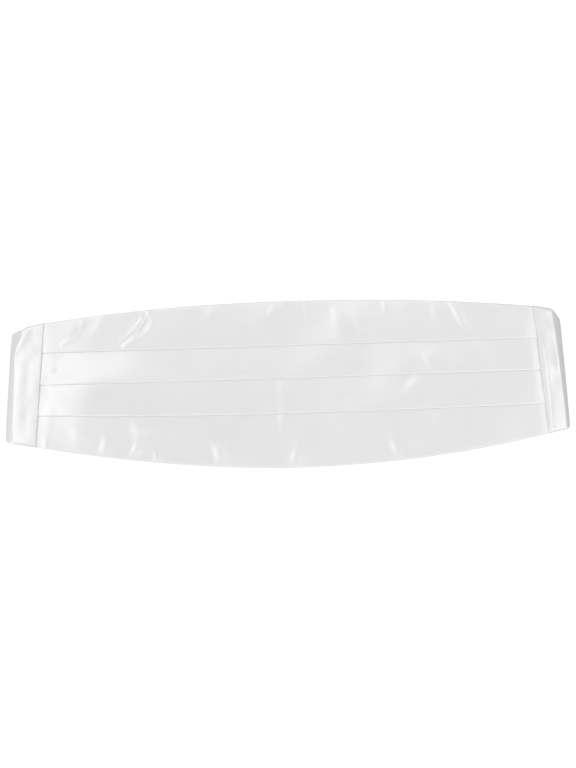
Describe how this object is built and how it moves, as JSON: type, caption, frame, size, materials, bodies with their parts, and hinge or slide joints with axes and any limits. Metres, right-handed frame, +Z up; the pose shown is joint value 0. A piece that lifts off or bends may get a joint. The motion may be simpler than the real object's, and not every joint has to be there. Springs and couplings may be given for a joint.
{
  "type": "cummerbund",
  "caption": "White satin cummerbund, buckled and laid flat: pleated front, end tabs folded under, and a strap closed by a clasp behind.",
  "frame": {"origin": "middle of the band's box, on the surface it lies on", "axes": "+X along the band, +Y towards its upper edge, +Z up out of the pleated front"},
  "size_m": [0.4318, 0.1268, 0.0161],
  "materials": {
    "satin": "white satin",
    "webbing": "white woven elastic",
    "metal": "bright"
  },
  "bodies": {
    "root": {"pleated_front": "satin", "left_end_tab": "satin", "right_end_tab": "satin", "left_strap": "webbing", "right_strap": "webbing", "clasp": "metal"}
  },
  "joints": []
}
